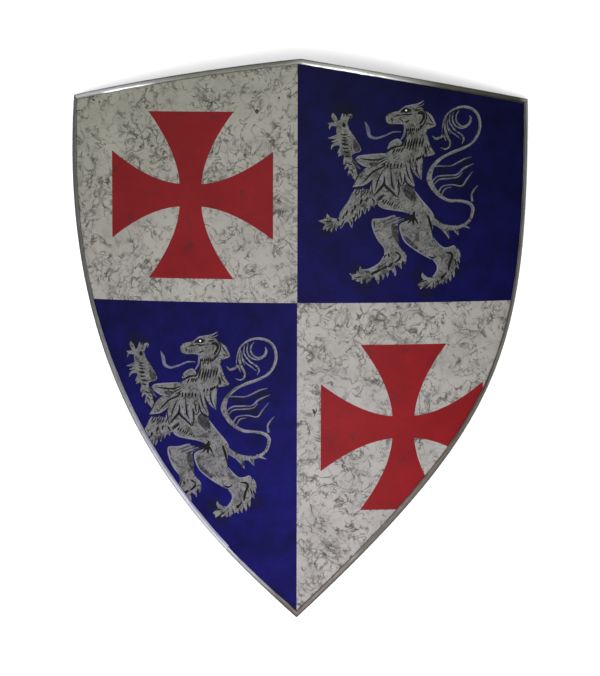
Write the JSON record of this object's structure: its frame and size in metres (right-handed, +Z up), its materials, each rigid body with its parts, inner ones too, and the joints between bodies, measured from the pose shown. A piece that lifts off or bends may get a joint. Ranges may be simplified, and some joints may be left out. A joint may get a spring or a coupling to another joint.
{
  "type": "heater shield",
  "caption": "Heater shield of curved sheet steel, quartered with red crosses and silver lions, edged with folded steel channel and hung by a keyhole strap.",
  "frame": {"origin": "on the floor under the middle of the box of the shield as it lies face up at rest on its two side edges", "axes": "+X to the right and +Y towards the peak, both as seen from the painted face, +Z up, out of the face"},
  "size_m": [0.4996, 0.6076, 0.0745],
  "materials": {
    "painted_face": "satin paint in four quarters: webbed greyish white with a red cross, and deep blue with a silver lion, each twice; bare grey primer on the back",
    "edging_steel": "polished, with fine scratches along the strips and dark dirt at their lips",
    "hanger_steel": "dull rolled steel"
  },
  "bodies": {
    "root": {"shield_plate": "painted_face", "rim_top": "edging_steel", "rim_left": "edging_steel", "rim_right": "edging_steel", "hanger": "hanger_steel"}
  },
  "joints": []
}
